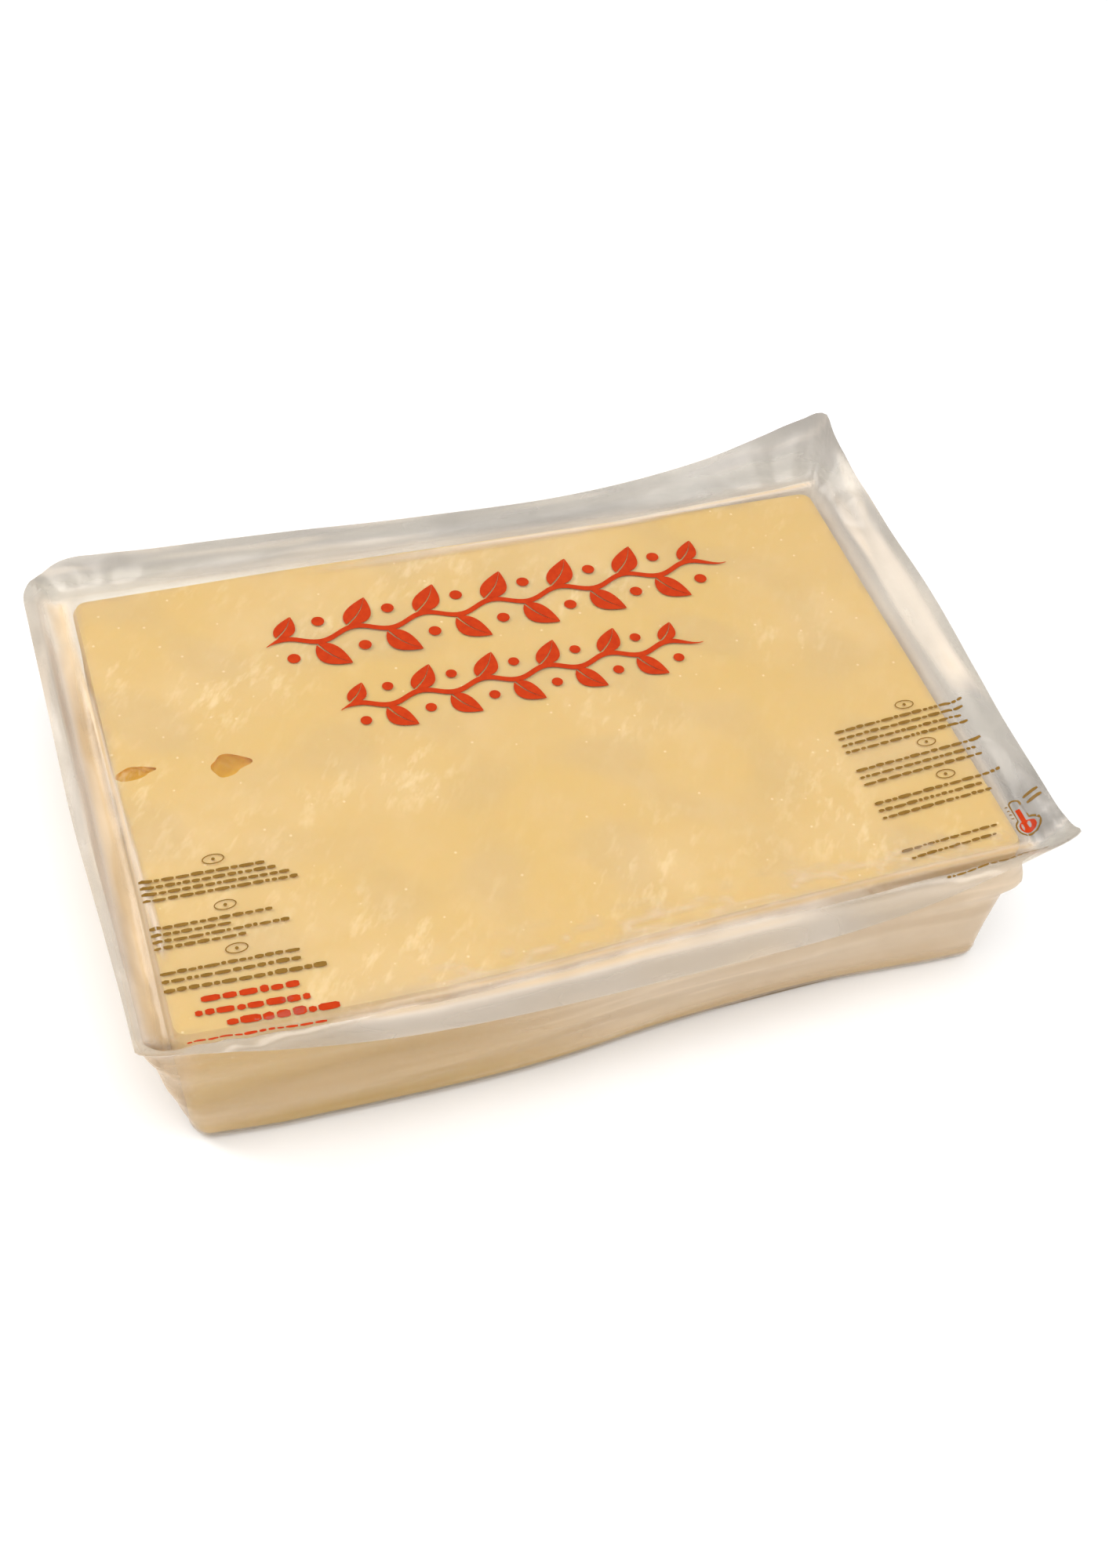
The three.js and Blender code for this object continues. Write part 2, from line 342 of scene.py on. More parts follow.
def outline(west, east, south, north, radii):
    """A rounded rectangle from its front left corner, anticlockwise. Each side, from the middle
    of one corner to the middle of the next, has even steps. radii are for the front left, front
    right, back right and back left corners."""
    corners = [(west, south, 1, 1), (east, south, -1, 1), (east, north, -1, -1), (west, north, 1, -1)]
    arcs = []
    for index, (x, y, in_x, in_y) in enumerate(corners):
        radius = max(radii[index], 1e-3)
        angle = math.pi + index * math.pi / 2 + np.linspace(0, math.pi / 2, 25)
        arcs.append(np.array((x + in_x * radius, y + in_y * radius)) + radius * circle(angle))
    points = []
    for index in range(4):
        path = np.vstack((arcs[index][12:], arcs[(index + 1) % 4][:13]))
        steps = np.hypot(*np.diff(path, axis=0).T)
        at = np.concatenate(([0], np.cumsum(steps)))
        where = np.linspace(0, at[-1], COLUMNS[index % 2] + 1)[:-1]
        points.append(np.column_stack([np.interp(where, at, line) for line in path.T]))
    return np.vstack(points)


def grown_outline(grow, radii):
    """The block's top outline, moved out by grow on each side."""
    if not isinstance(grow, dict):
        grow = dict.fromkeys(REACH, grow)
    west, east = -HALF[0] - grow["left"], HALF[0] + grow["right"]
    south, north = -HALF[1] - grow["front"], HALF[1] + grow["back"]
    return outline(west, east, south, north, radii)


def flange_outline(start, share):
    """The flange's outline part of the way from start, as shares of its reach, to its cut edge."""
    part = {side: start[side] + (1 - start[side]) * share for side in start}
    reached = np.mean(list(part.values()))
    radii = UPRIGHT_RADIUS + (FLANGE_RADII - UPRIGHT_RADIUS) * reached
    xy = grown_outline({side: REACH[side] * part[side] for side in part}, radii)
    x, y = xy.T
    stray = np.stack(reach_at(x, y)) - np.stack(by_side(x, y, REACH))
    stray *= np.stack(by_side(x, y, part))
    weight = np.clip(np.abs(xy) / HALF, 0, 1) ** 8
    return xy + np.sign(xy) * stray.T * weight


def quads(number):
    """The faces of a grid, from its points' numbers in rows and columns."""
    corners = (number[:-1, :-1], number[:-1, 1:], number[1:, 1:], number[1:, :-1])
    return np.column_stack([corner.ravel() for corner in corners])


class Web:
    """A web of film as one open surface: a middle grid inside rings of points."""

    def __init__(self, inset, height):
        half = HALF - inset
        nx, ny = COLUMNS[0] + 1, COLUMNS[1] + 1
        lines = np.meshgrid(np.linspace(-half[0], half[0], nx), np.linspace(-half[1], half[1], ny))
        grid_x, grid_y = (line.ravel() for line in lines)
        self.verts = [np.column_stack((grid_x, grid_y, height(grid_x, grid_y)))]
        number = np.arange(nx * ny).reshape(ny, nx)
        self.faces = [quads(number)]
        self.rim = np.concatenate(
            (number[0, :-1], number[:-1, -1], number[-1, :0:-1], number[:0:-1, 0])
        )
        self.size = nx * ny

    def ring(self, points):
        """Adds one ring outside the last, from its points in space."""
        count = len(points)
        new = np.arange(self.size, self.size + count)
        self.verts.append(points)
        old, after = self.rim, np.roll(self.rim, -1)
        self.faces.append(np.column_stack((old, new, np.roll(new, -1), after)))
        self.rim = new
        self.size += count

    def solid(self, name, thickness):
        """A closed skin of that thickness, added on the web's upper or inner side."""
        verts = np.vstack(self.verts)
        faces = np.vstack(self.faces)
        a, b, c, d = (verts[faces[:, k]] for k in range(4))
        face_normals = np.cross(c - a, d - b)
        normals = np.zeros_like(verts)
        for k in range(4):
            np.add.at(normals, faces[:, k], face_normals)
        normals /= np.linalg.norm(normals, axis=1, keepdims=True)
        count = len(verts)
        rim, after = self.rim, np.roll(self.rim, -1)
        walls = np.column_stack((rim, after, after + count, rim + count))
        both = np.vstack((faces[:, ::-1], faces + count, walls))
        return mesh_object(name, np.vstack((verts, verts + normals * thickness)), both, 75), verts


def place_milk(obj, haze, tone_and_painted_light):
    """Stores how milky the film is at each point, and how pale and warm, which also holds painted shade
    and painted highlights, on both of its faces.
    """
    for name, values in (("haze", haze), ("tone_and_painted_light", tone_and_painted_light)):
        attribute = obj.data.attributes.new(name, "FLOAT", "POINT")
        both = np.concatenate((values, values)).astype(np.float32)
        attribute.data.foreach_set("value", np.clip(both, 0, 1))


def lid_film():
    web = Web(6, seal_height)

    def ring(xy):
        web.ring(np.column_stack((xy, seal_height(xy[:, 0], xy[:, 1]))))

    for inset in LID_INSETS:
        ring(grown_outline(-inset, np.full(4, max(UPRIGHT_RADIUS - inset, 0.2))))
    for share in np.linspace(0, 1, LID_RINGS + 1)[1:]:
        ring(flange_outline(dict.fromkeys(REACH, 0.0), share))
    obj, verts = web.solid("lid_web", FILM)
    x, y = verts[:, 0], verts[:, 1]
    out = outwardness(x, y)
    edge = np.minimum(HALF[0] - np.abs(x), HALF[1] - np.abs(y))
    past_x = np.abs(x) - HALF[0]
    waver = ripples(x, y, 50, 25)
    haze = 0.03 + 0.03 * smooth(-0.3, 1, ripples(x, y, 38, 21))
    # The front, the left end and the left half of the back stay clear for longer.
    late = 3.5 * smooth(2, -2, HALF[1] + y) + 3.0 * smooth(2, -2, HALF[0] + x)
    late += 2.5 * smooth(2, -2, HALF[1] - y) * smooth(-20, -90, x)
    haze += 0.20 * smooth(4.0, -3.5, edge + late + 0.8 * ripples(x, y, 16, 26))
    haze += 0.07 * smooth(0.5, 0.75, out) * (1 + 0.5 * ripples(x, y, 40, 22))
    haze += 0.07 * smooth(0.0, 0.3, out) * streaks(x, y, 27)
    tone_and_painted_light = 0.38 + 0.12 * smooth(0.1, 1.2, streaks(x, y, 29)) * smooth(0.1, 0.4, out)
    ends = beside_ends(y)
    back_left = smooth(-2, 2, y - HALF[1]) * smooth(20, -50, x)
    # Painted highlights: paler along the film's bend over the block's top edges and in a thin line just
    # past the left edge; paler too over the front flange.
    tone_and_painted_light += 0.2 * smooth(2, -2, edge) * (1 - smooth(0, 0.35, out)) * (1 - back_left)
    tone_and_painted_light += 0.14 * (y < -HALF[1]) + 0.25 * (x < 0) * hump(past_x, 1.5, 2.0) * ends
    tone_and_painted_light -= 0.06 * (y > HALF[1]) * smooth(20, 50, x) * (1 - smooth(85, 105, x))
    # Pale where the film bunches, partly its own milkiness and partly painted highlight: rolled over
    # the front edge, beside the left edge, in the belly of the right flange and along the folds.
    front = (y < 0) * hump(out + 0.04 * waver, 0.52, 0.17) * smooth(-108, -62, x)
    front *= (1 - smooth(42, 78, x)) * (0.8 + 0.2 * waver)
    milky_wrinkle_highlights = creases(x, y, *WRINKLES) * hump(y, -HALF[1] + 5, 5) * smooth(-75, -45, x)
    early = 2.2 * smooth(10, -40, y)
    left = (x < 0) * smooth(0.2, 3.6, past_x + early) * (1 - smooth(5.0, 9.5, past_x)) * ends
    outer_left = (x < 0) * smooth(4.0, 8.0, past_x) * ends
    right = (x > 0) * smooth(4.0, 6.5, past_x + 0.4 * waver) * (1 - smooth(0.70, 0.90, out))
    right *= smooth(-30, -8, y) * (1 - smooth(50, 84, y))
    lip_highlight = (y < 0) * hump(-HALF[1] - y, 0.8, 1.6) * smooth(-70, -40, x)
    milky_fold_highlights = long_fold(x, y) * smooth(-70, 20, x) + side_fold(x, y)
    # Painted shade: grey where it bridges the dark gap beside the block, over the front part of the
    # right flange and along the back.
    gap_shade = (x > 0) * hump(past_x, 2.5, 3.0) * ends
    lower = (x > 0) * smooth(0, 4, past_x) * smooth(-14, -34, y)
    right_front_shade = lower * smooth(-50, -72, y)
    back_gap_shade = (y > 0) * hump(out, 0.45, 0.22) * smooth(-30, 20, x) * (1 - smooth(90, 120, x))
    back_gap_shade *= smooth(0, 0.1, out)
    corner_back = smooth(0.3, 0.7, out) * smooth(95, 125, x) * smooth(80, 95, y)
    # Clear at the left of the back and towards both ends of the front.
    clear_back = smooth(0, 2, y - HALF[1]) * (1 - smooth(0.45, 0.75, out)) * smooth(-80, -105, x)
    clear_front = smooth(0, 3, -HALF[1] - y) * (smooth(-72, -95, x) + smooth(58, 84, x))
    # The pale zones here are partly painted highlights, and the grey ones painted shade.
    for zone, more_haze, more_tone_and_painted_light in (
        (front, 0.42, 0.36),
        (milky_wrinkle_highlights, 0.14, 0.3),
        (left, 0.24, 0.5),
        (outer_left, 0, 0.12),
        (right, 0.22, 0.26),
        (lip_highlight, 0.16, 0.3),
        (milky_fold_highlights, 0.42, 0.42),
        (gap_shade, 0.1, -0.08),
        (lower, 0.12, -0.08),
        (right_front_shade, 0.16, -0.32),
        (back_gap_shade, 0.2, -0.2),
        (corner_back, 0.25, -0.08),
        (clear_back, 0, -0.2),
        (clear_front, 0, -0.1),
    ):
        haze += more_haze * zone
        tone_and_painted_light += more_tone_and_painted_light * zone
    haze *= 1 - 0.6 * clear_back - 0.5 * clear_front
    place_milk(obj, haze, tone_and_painted_light)
    return obj


def wall_folds(around, z):
    """How far the tray's walls stand off the block because of their folds."""
    total = np.zeros_like(z)
    for index, (height, width, depth) in enumerate(WALL_FOLDS):
        middle = height + 3.5 * ripples(around, 0 * z, 220, 70 + index)
        swell = 0.65 + 0.45 * ripples(around, z, (110, 60), 80 + index)
        total += depth * np.clip(swell, 0, 2) * hump(z, middle, width)
    return total + 0.18 * creases(around, z, (150, 9), 31, 1.6)


def lean(points):
    """The lean of the front side, and the pressed corner, for the block and its film alike."""
    x, y, z = points.T
    level = np.clip((z - FLOOR) / HEIGHT, 0, 1)
    front = np.clip(-y / HALF[1], 0, 1) ** 2
    near = np.clip(1 - np.hypot(x + HALF[0], y + HALF[1]) / 30, 0, 1)
    bite = CORNER_BITE * near * (1 - level) ** 5
    out = points.copy()
    out[:, 1] -= (through(x, FRONT_FOOT) - through(x, FRONT_TOP)) * (1 - level) * front - bite
    out[:, 0] += bite
    return out


def tray_film():
    web = Web(DRAFT + FOOT_RADIUS, lambda x, y: np.zeros_like(x))
    lift = CLEARANCE + FILM
    for angle in np.radians((18, 36, 54, 72, 90)):
        radius = FOOT_RADIUS + FLOOR
        grow = radius * math.sin(angle) - FOOT_RADIUS - DRAFT
        z = FLOOR + FOOT_RADIUS - radius * math.cos(angle)
        corner = UPRIGHT_RADIUS - FOOT_RADIUS + radius * math.sin(angle)
        xy = grown_outline(grow, np.full(4, corner))
        web.ring(lean(np.column_stack((xy, np.full(len(xy), z)))))
    foot, head = FLOOR + FOOT_RADIUS, TOP - TOP_RADIUS
    stands = [np.zeros(web.size)]
    for z in np.linspace(foot, WALL_TOP, WALL_RINGS + 1)[1:]:
        share = (z - foot) / (head - foot)
        side = DRAFT * (share - 1) + lift
        grow = {name: side + WALL_HEAD[name] * share**1.5 for name in REACH}
        radii = WALL_RADII * share + (UPRIGHT_RADIUS + 0.6) * (1 - share)
        xy = grown_outline(grow, radii)
        x, y = xy.T
        outward = np.sign(xy) * (np.abs(xy) > HALF - 8)
        outward /= np.maximum(np.linalg.norm(outward, axis=1, keepdims=True), 1)
        end = on_end(x, y)
        # Each side has its own stretch of the random fields.
        around = np.where(end, y, x) + 400 * end * np.sign(x) + 200 * np.sign(y) * ~end
        level = np.full_like(x, z)
        bulge = wall_folds(around, level) * smooth(0, 0.05, share) * (1 - smooth(0.9, 1, share))
        corner = np.maximum(0, 1 - np.hypot(x - HALF[0], y + HALF[1]) / PLEAT_REACH)
        pleat = PLEAT_DEPTH * hump(z, PLEAT_HEIGHT, PLEAT_FADE[int(z >= PLEAT_HEIGHT)])
        bulge *= 1 - 0.9 * smooth(0, 0.5, corner)
        place = xy + outward * bulge[:, None]
        place[:, 0] += pleat * corner
        place[:, 1] -= pleat * corner / 2
        web.ring(lean(np.column_stack((place, level))))
        stands.append(bulge + 0.5 * pleat * corner)
    for share in np.linspace(0, 1, TRAY_RINGS + 1):
        xy = flange_outline(FLANGE_START, share)
        x, y = xy.T
        web.ring(np.column_stack((xy, seal_height(x, y))) - seal_normal(x, y) * (WELD + FILM))
        stands.append(np.full(len(xy), 3.0))
    obj, verts = web.solid("formed_web", FILM)
    stand = np.concatenate(stands)
    x, y, z = verts.T
    # Milky where it stands off, in broad bands and in thin streaks drawn out along the walls, and
    # clearer where it lies tight round the foot.
    run = np.where(on_end(x, y), y + 400, x)
    wall = stand < 2.9
    haze = 0.08 + 0.22 * smooth(0.7, 3.0, stand)
    haze += 0.3 * smooth(0.0, 1.0, ripples(run, z * (1 + 0.001 * run), (210, 24), 41))
    haze += 0.14 * creases(run, z, (240, 13), 43, 2.4) * smooth(-0.4, 0.6, ripples(run, z, 60, 44))
    tight = through(x, ((-135, 9), (-20, 10), (40, 11), (125, 8)))
    slack = (0.08 + 0.27 * smooth(-60, 15, x)) * (1 - 0.25 * smooth(0, 1, ripples(run, z, (80, 14), 45)))
    drawn = smooth(-80, 25, x)  # the left half was drawn tighter, so it's clearer
    haze = np.where(wall, (haze + slack) * (0.5 + 0.5 * drawn), haze)
    haze += 0.24 * wall * smooth(0, 9, -x - HALF[0] + 9 * smooth(4, 50, z))
    left_end = wall * smooth(-HALF[0] + 6, -HALF[0] + 1, x)
    left_end = left_end * (1 - smooth(HALF[1] - 10, HALF[1] - 2, np.abs(y)))
    clearing = 0.85 - 0.25 * smooth(10, 50, x)
    haze *= 1 - wall * (1 - left_end) * clearing * smooth(tight + 4, tight - 5, z)
    behind = smooth(HALF[1] - 12, HALF[1] - 4, y)
    haze *= 1 - wall * behind * (0.25 * smooth(20, -30, x) + 0.25 * smooth(-70, -110, x))
    haze += 0.3 * left_end
    front = y < -HALF[1]
    haze *= 1 - front * ~wall * (0.15 + 0.45 * smooth(50, 85, x) + 0.25 * smooth(-70, -95, x))
    # Painted shade: the right flange turns grey towards the front, and the back flange greyer to the
    # right, over the gap beside the block; the front and left flanges are paler.
    flange_tone_and_painted_light = 0.38 + 0.1 * smooth(0.1, 1.2, streaks(x, y, 29)) + 0.26 * front
    flange_tone_and_painted_light -= (x > HALF[0]) * (0.06 * smooth(-14, -34, y) + 0.2 * smooth(-50, -72, y))
    flange_tone_and_painted_light -= 0.10 * (y > HALF[1]) * smooth(-30, 20, x)
    flange_tone_and_painted_light += 0.14 * (x < -HALF[0]) * beside_ends(y)
    place_milk(obj, haze, np.where(wall, 0.98 - 0.12 * drawn - 0.15 * behind, flange_tone_and_painted_light))
    return obj


def grid_box():
    """The block's skin as six even grids, joined; cheese_block rounds its edges and drafts its sides."""
    cell = 2.0
    mesh = bmesh.new()
    bmesh.ops.create_cube(mesh, size=1)
    half = np.array((HALF[0], HALF[1], HEIGHT / 2))
    for vert in mesh.verts:
        vert.co = Vector(np.array(vert.co) * 2 * half)
    for axis in range(3):
        count = int(round(2 * half[axis] / cell))
        for step in range(1, count):
            at = -half[axis] + 2 * half[axis] * step / count
            normal = Vector([float(axis == k) for k in range(3)])
            geometry = mesh.verts[:] + mesh.edges[:] + mesh.faces[:]
            bmesh.ops.bisect_plane(mesh, geom=geometry, plane_co=normal * at, plane_no=normal)
    verts = np.array([vert.co for vert in mesh.verts])
    mesh.verts.index_update()
    faces = [[v.index for v in face.verts] for face in mesh.faces]
    mesh.free()
    return verts, faces, half


def cheese_block():
    verts, faces, half = grid_box()
    # Rounded edges: each point is drawn to the surface of a ball rolled inside the box.
    upper = verts[:, 2] > 0
    edge = np.where(upper, TOP_RADIUS, FOOT_RADIUS)
    x, y, z = verts.T
    radius = UPRIGHT_RADIUS
    close = 1e-3  # points this near a face lie on it
    inner = half[:2] - radius
    arm = verts[:, :2] - np.clip(verts[:, :2], -inner, inner)
    reach = np.linalg.norm(arm, axis=1)
    corner = (np.abs(arm[:, 0]) > 1e-6) & (np.abs(arm[:, 1]) > 1e-6)
    square = np.maximum(np.abs(arm[:, 0]), np.abs(arm[:, 1]))
    pull = np.where(corner, square / np.maximum(reach, 1e-9), 1)
    face = np.abs(z) > half[2] - close
    pull = pull * np.where(face, 1 - edge / radius, 1)
    place = verts[:, :2] - arm + arm * pull[:, None]
    inward = np.maximum(np.abs(z) - (half[2] - edge), 0)
    rolled = edge - np.sqrt(np.maximum(edge**2 - inward**2, 0))
    on_side = square > radius - close
    shrink = np.where(on_side & ~face, rolled, 0)
    direction = np.where(reach[:, None] > 1e-9, arm / np.maximum(reach, 1e-9)[:, None], 0)
    place = place - direction * shrink[:, None]
    level = (z + half[2]) / (2 * half[2])
    place = place * (1 - (DRAFT * (1 - level))[:, None] / HALF)
    out = np.column_stack((place, z + FLOOR + half[2]))
    # A hand-cut block isn't perfectly flat.
    out[:, 2] += np.where(upper, 0.10 * ripples(x, y, 70, 51) - 0.05, 0)
    wave = 0.25 * ripples(x + y, z * 2, 60, 52) * (1 - np.abs(level * 2 - 1)) - 0.15
    out[:, :2] += direction * (wave * on_side)[:, None]
    block = mesh_object("cheese_slab", lean(out), faces)
    block.data.materials.append(pressed_cheese("pressed_cheese", CHEESE_TONES, (0.42, 0.6), 0.5))
    cut_eyes(block, pressed_cheese("eye_skin", EYE_TONES, (0.3, 0.42), 0.2))
    return block


# Eyes, face by face: place along and up the face, half-axes along, up and into the face, and the
# tips that the knife drew out of the bubble: their direction, their length and how wide they are.
EYES = {
    "top": [
        (-127.9, 10.4, (5.0, 2.9, 2.2), ((10, 0.5, 20), (205, 0.2, 40), (300, -0.15, 30))),
        (-98.6, 6.8, (5.4, 4.1, 3.4), ((5, 0.5, 20), (100, 0.2, 35), (250, 0.35, 28), (310, -0.2, 25))),
    ],
    "back": [
        (-62, 4, (6.5, 4.6, 4.0), ((15, 0.35, 25), (190, 0.2, 30))),
        (38, -10, (4.6, 3.8, 3.5), ((350, 0.3, 25),)),
    ],
    "right": [(24, -6, (5.6, 4.2, 4.0), ((-15, 0.35, 25), (120, 0.15, 40)))],
}


def face_places():
    """Where each face with eyes lies: its X runs along it, its Y up it and its Z out of it."""
    waist = FLOOR + HEIGHT / 2
    side = DRAFT / 2
    return {
        "top": ((1, 0, 0), (0, 1, 0), (0, 0, 1), (0, 0, TOP)),
        "back": ((-1, 0, 0), (0, 0, 1), (0, 1, 0), (0, HALF[1] - side, waist)),
        "right": ((0, 1, 0), (0, 0, 1), (1, 0, 0), (HALF[0] - side, 0, waist)),
    }


def eye_cutter(along, up, half, tips, place, seed, skin):
    """A gas bubble that the knife has opened, and drawn out into tips."""
    cutter = bmesh.new()
    bmesh.ops.create_icosphere(cutter, subdivisions=5, radius=1)
    co = np.array([vert.co for vert in cutter.verts])
    bearing = np.degrees(np.arctan2(co[:, 1], co[:, 0]))
    stretch = np.ones(len(co))
    for direction, length, width in tips:
        stretch += length * hump((bearing - direction + 180) % 360, 180, width)
    stretch = 1 + (stretch - 1) * smooth(0.2, 0.8, np.hypot(co[:, 0], co[:, 1]))
    co[:, :2] *= stretch[:, None]
    swell = 1 + 0.05 * ripples(co[:, 0] + co[:, 2], co[:, 1] - co[:, 2], 1.3, seed)
    x, y, z = (co * swell[:, None] * np.array(half) + (along, up, -0.4)).T
    frame_x, frame_y, frame_z, origin = (np.array(v, float) for v in place)
    world = skew(origin + x[:, None] * frame_x + y[:, None] * frame_y + z[:, None] * frame_z)
    for vert, at in zip(cutter.verts, world):
        vert.co = Vector(at * MM)
    mesh = bpy.data.meshes.new("eye")
    cutter.to_mesh(mesh)
    cutter.free()
    mesh.materials.append(skin)
    return placed("eye", mesh)


def cut_eyes(block, skin):
    places = face_places()
    seed = 60
    for face, eyes in EYES.items():
        for along, up, half, tips in eyes:
            cutter = eye_cutter(along, up, half, tips, places[face], seed, skin)
            seed += 1
            cut = block.modifiers.new("eye", "BOOLEAN")
            cut.operation = "DIFFERENCE"
            cut.solver = "EXACT"
            cut.material_mode = "TRANSFER"
            cut.object = cutter
            bpy.context.view_layer.update()
            depsgraph = bpy.context.evaluated_depsgraph_get()
            mesh = bpy.data.meshes.new_from_object(block.evaluated_get(depsgraph))
            block.modifiers.clear()
            block.data = mesh
            bpy.data.objects.remove(cutter)
    block.data.shade_smooth()
    block.data.set_sharp_from_angle(angle=math.radians(38))


# ---- Print on the lid: plain ornament and plain bars, laid on the film as thin ink ----

INK_GAP = 0.03
INK = 0.03


class Ink:
    """Everything printed in one colour, gathered into one mesh."""

    def __init__(self):
        self.verts, self.faces, self.size = [], [], 0

    def patch(self, lower, upper, across=1, closed=False):
        """Ink between two lines of points in plan. A closed patch joins its two ends."""
        share = np.linspace(0, 1, across + 1)[:, None, None]
        plan = np.asarray(lower)[None] * (1 - share) + np.asarray(upper)[None] * share
        rows, columns = plan.shape[:2]
        x, y = plan[..., 0], plan[..., 1]
        ground = np.stack((x, y, seal_height(x, y)), axis=-1)
        normal = seal_normal(x, y)
        lifts = (FILM + INK_GAP, FILM + INK_GAP + INK)
        number = np.arange(rows * columns).reshape(rows, columns)
        if closed:
            number = np.column_stack((number, number[:, 0]))
        count = rows * columns
        faces = [quads(number) + count, quads(number)[:, ::-1]]
        borders = [number[0], number[-1][::-1]]
        if not closed:
            borders += [number[:, -1], number[:, 0][::-1]]
        for border in borders:
            start, end = border[:-1], border[1:]
            faces.append(np.column_stack((start, end, end + count, start + count)))
        self.verts += [(ground + normal * lift).reshape(-1, 3) for lift in lifts]
        self.faces.append(np.vstack(faces) + self.size)
        self.size += 2 * count

    def object(self, name):
        return mesh_object(name, np.vstack(self.verts), np.vstack(self.faces), 40)


def turned(points, middle, degrees):
    angle = math.radians(degrees)
    turn = np.array(((math.cos(angle), math.sin(angle)), (-math.sin(angle), math.cos(angle))))
    return np.asarray(points) @ turn + middle


def bar(ink, start, length, height, tilt=0.0):
    """A plain bar with softened ends, from its lower left corner."""
    steps = max(3, int(length / 1.2) + 2)
    along = np.linspace(0, length, steps)
    inset = 0.18 * height * np.clip(1 - np.minimum(along, length - along) / (0.2 * height), 0, 1)
    lower = np.column_stack((along, inset))
    upper = np.column_stack((along, height - inset))
    ink.patch(turned(lower, start, tilt), turned(upper, start, tilt), max(1, int(height / 2)))


def leaf(ink, foot, length, width, lean_angle):
    """A pointed leaf with a bare midrib, growing from its foot at an angle from upright."""
    t = np.linspace(0, 1, 15)
    half = width / 2 * np.sin(math.pi * t**0.8) ** 0.9 + 0.12
    rib = 0.3 * (1 - t) + 0.02
    spine = 0.08 * length * np.sin(math.pi * t)
    rows = (spine - half - rib, spine - rib, spine + rib, spine + half + rib)
    lines = [turned(np.column_stack((row, t * length)), foot, lean_angle) for row in rows]
    ink.patch(lines[1], lines[0], 2)
    ink.patch(lines[3], lines[2], 2)


def disc(ink, middle, radius):
    angle = np.linspace(0.06, math.pi - 0.06, 15)
    x = -radius * np.cos(angle)
    y = radius * np.sin(angle)
    ink.patch(np.column_stack((x, -y)) + middle, np.column_stack((x, y)) + middle, 4)


def hoop(ink, middle, half, stroke):
    """An oval line."""
    angle = np.linspace(0, 2 * math.pi, 29)[:-1]
    outer, inner = np.array(half), np.array(half) - stroke
    ink.patch(circle(angle) * outer + middle, circle(angle) * inner + middle, closed=True)


def garland(ink, start, count, pitch, height, rise):
    """A waving stem that climbs by rise degrees, with leaves on both sides and berries."""
    length = pitch * (count + 0.6)
    x = np.linspace(0, length, count * 8)
    wave = height * 0.07 * np.sin(math.pi * x / pitch)
    half = 0.95 * smooth(0, 6, x) * smooth(0, 10, length - x) + 0.15
    edges = (turned(np.column_stack((x, y)), start, rise) for y in (wave - half, wave + half))
    ink.patch(*edges)
    for index in range(count):
        sign = 1 if index % 2 == 0 else -1
        root = np.array([(pitch * (index + 0.35), sign * height * 0.11)])
        size = height * (0.5 if index not in (0, count - 1) else 0.38)
        leaf(ink, turned(root, start, rise)[0], size, size * 0.56, rise - 90 + sign * 52)
        berry = np.array([(pitch * (index + 0.6), -sign * height * 0.26)])
        disc(ink, turned(berry, start, rise)[0], height * 0.075)


def text_lines(ink, start, lengths, pitch, height, tilt, seed):
    """Lines of bars in place of small print."""
    rng = np.random.default_rng(seed)
    scale = 0.5 + 0.5 * height
    across = np.array((math.cos(math.radians(tilt)), math.sin(math.radians(tilt))))
    for row, length in enumerate(lengths):
        at = 0.0
        while at < length - 1.5:
            word = min(rng.uniform(1.1, 4.2) * scale, length - at)
            corner = np.array(start) + across * at - np.array((0, pitch * row))
            bar(ink, corner, word, height * rng.uniform(0.8, 1.1), tilt)
            at += word + rng.uniform(0.3, 0.6) * scale


def thermometer(dark, red, foot):
    """A plain thermometer sign: an outlined tube and bulb, filled red, with marks beside it."""
    x, y = foot
    half_tube, bulb, height = 1.9, 3.7, 15.0
    join = math.asin(half_tube / bulb)
    lower = np.linspace(-1.5 * math.pi + join, 0.5 * math.pi - join, 25)
    upper = np.linspace(0, math.pi, 11)
    bulb_line, cap_line = circle(lower)[::-1], circle(upper) * (-1, 1)
    centre, cap = np.array((x, y)), np.array((x, y + height - half_tube - bulb))
    loop = [
        np.vstack((bulb_line * (bulb - inset) + centre, cap_line * (half_tube - inset) + cap))[::-1]
        for inset in (0, 0.55)
    ]
    dark.patch(loop[0], loop[1], closed=True)
    disc(red, centre, bulb - 1.2)
    side = np.linspace(1.6, 7.2, 6)
    column = np.column_stack((np.full(6, x), y + side))
    red.patch(column + (0.75, 0), column - (0.75, 0))
    for index in range(4):
        bar(dark, (x - half_tube - 1.5, y + 4.2 + 1.6 * index), 1.0, 0.4)
    for index in range(2):
        bar(dark, (x + half_tube + 1.0, y + 6.6 + 2.6 * index), 4.2, 1.2, 4)


